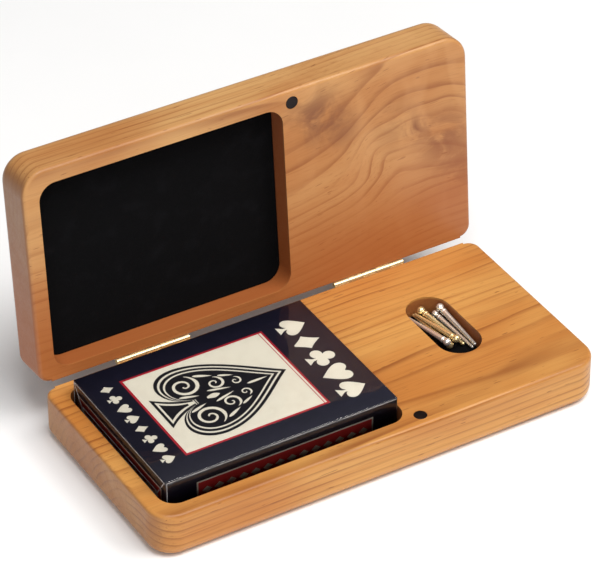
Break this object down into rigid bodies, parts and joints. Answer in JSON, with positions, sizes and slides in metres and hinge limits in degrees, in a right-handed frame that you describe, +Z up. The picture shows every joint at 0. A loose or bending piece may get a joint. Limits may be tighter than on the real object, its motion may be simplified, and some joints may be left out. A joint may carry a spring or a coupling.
{
  "type": "folding wooden card and peg case",
  "caption": "Folding solid-wood pocket case that opens on two stop hinges, with a felt-lined pocket for a card deck, a slot for metal pegs and a magnet catch.",
  "frame": {"origin": "centre of the base block's flat underside", "axes": "+X along the case's length, card pocket towards -X; +Y towards the hinges; +Z up, out of the base block's mating face"},
  "size_m": [0.1788, 0.1111, 0.1032],
  "materials": {
    "cherry_base": "satin oiled cherry, straight grain along the case",
    "cherry_lid": "satin oiled cherry with a curly figured area",
    "felt": "short black felt",
    "magnet": "dark uncoated magnet, matt",
    "hinge_brass": "bright pale brass plating",
    "carton": "printed paper board, near-black navy with a cream panel",
    "card_stock": "stacked card edges",
    "clear_film": "clear gloss overwrap film",
    "peg_brass": "polished turned brass",
    "peg_nickel": "polished nickel plate"
  },
  "bodies": {
    "base": {"base_block": "cherry_base", "base_card_felt": "felt", "peg_slot_felt": "felt", "base_magnet": "magnet", "left_hinge_base_leaf": "hinge_brass", "left_hinge_pin": "hinge_brass", "right_hinge_base_leaf": "hinge_brass", "right_hinge_pin": "hinge_brass", "base_hinge_screws": "hinge_brass"},
    "lid": {"lid_block": "cherry_lid", "lid_card_felt": "felt", "lid_magnet": "magnet", "left_hinge_lid_leaf": "hinge_brass", "right_hinge_lid_leaf": "hinge_brass", "lid_hinge_screws": "hinge_brass"},
    "deck": {"card_carton": "carton", "card_stack": "card_stock", "cellophane_wrap": "clear_film"},
    "brass_peg_low": {"peg_1": "peg_brass"},
    "nickel_peg_low": {"peg_2": "peg_nickel"},
    "nickel_peg_left": {"peg_3": "peg_nickel"},
    "brass_peg_front": {"peg_4": "peg_brass"},
    "brass_peg_back": {"peg_5": "peg_brass"},
    "nickel_peg_right": {"peg_6": "peg_nickel"}
  },
  "joints": [
    {"name": "lid_hinge", "type": "hinge", "parent": "base", "child": "lid", "pos_m": [0, 0.04326, 0.01825], "axis": [-1, 0, 0], "range_deg": [-95, 0]},
    {"name": "deck_lift", "type": "slide", "parent": "base", "child": "deck", "axis": [0, 0, 1], "range_m": [0, 0.03]},
    {"name": "brass_peg_low_lift", "type": "slide", "parent": "base", "child": "brass_peg_low", "axis": [0, 0, 1], "range_m": [0, 0.02]},
    {"name": "nickel_peg_low_lift", "type": "slide", "parent": "base", "child": "nickel_peg_low", "axis": [0, 0, 1], "range_m": [0, 0.02]},
    {"name": "nickel_peg_left_lift", "type": "slide", "parent": "brass_peg_low", "child": "nickel_peg_left", "axis": [0, 0, 1], "range_m": [0, 0.02]},
    {"name": "brass_peg_front_lift", "type": "slide", "parent": "brass_peg_low", "child": "brass_peg_front", "axis": [0, 0, 1], "range_m": [0, 0.02]},
    {"name": "brass_peg_back_lift", "type": "slide", "parent": "brass_peg_low", "child": "brass_peg_back", "axis": [0, 0, 1], "range_m": [0, 0.02]},
    {"name": "nickel_peg_right_lift", "type": "slide", "parent": "nickel_peg_low", "child": "nickel_peg_right", "axis": [0, 0, 1], "range_m": [0, 0.02]}
  ]
}
